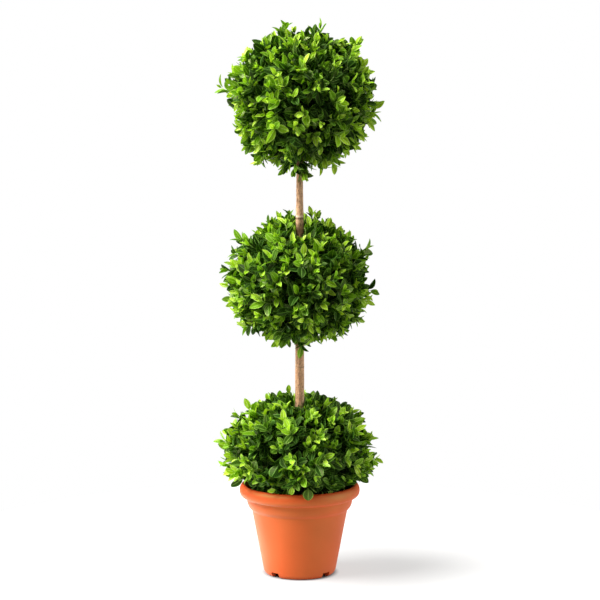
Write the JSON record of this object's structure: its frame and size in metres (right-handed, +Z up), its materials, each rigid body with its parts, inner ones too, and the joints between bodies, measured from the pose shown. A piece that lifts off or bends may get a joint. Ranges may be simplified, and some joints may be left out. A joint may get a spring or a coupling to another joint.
{
  "type": "potted ball topiary",
  "caption": "Clipped evergreen topiary: round heads of small pointed leaves one above another on a straight woody stem, in a round plastic pot with a rolled rim.",
  "frame": {"origin": "centre of the pot's underside, on the ground", "axes": "+Z up along the trunk; -Y towards the side that the picture shows"},
  "size_m": [0.3573, 0.3538, 1.205],
  "materials": {
    "pot_plastic": "terracotta-coloured moulded plastic with a soft sheen",
    "potting_soil": "dark bark-based potting soil, rough",
    "bark": "fine-grained tan bark, matt",
    "leaves": "glossy green leaves, lime at the tips and dark inside the heads"
  },
  "bodies": {
    "root": {"pot": "pot_plastic", "soil": "potting_soil", "trunk": "bark", "foliage_top": "leaves", "foliage_middle": "leaves", "foliage_bottom": "leaves"}
  },
  "joints": []
}
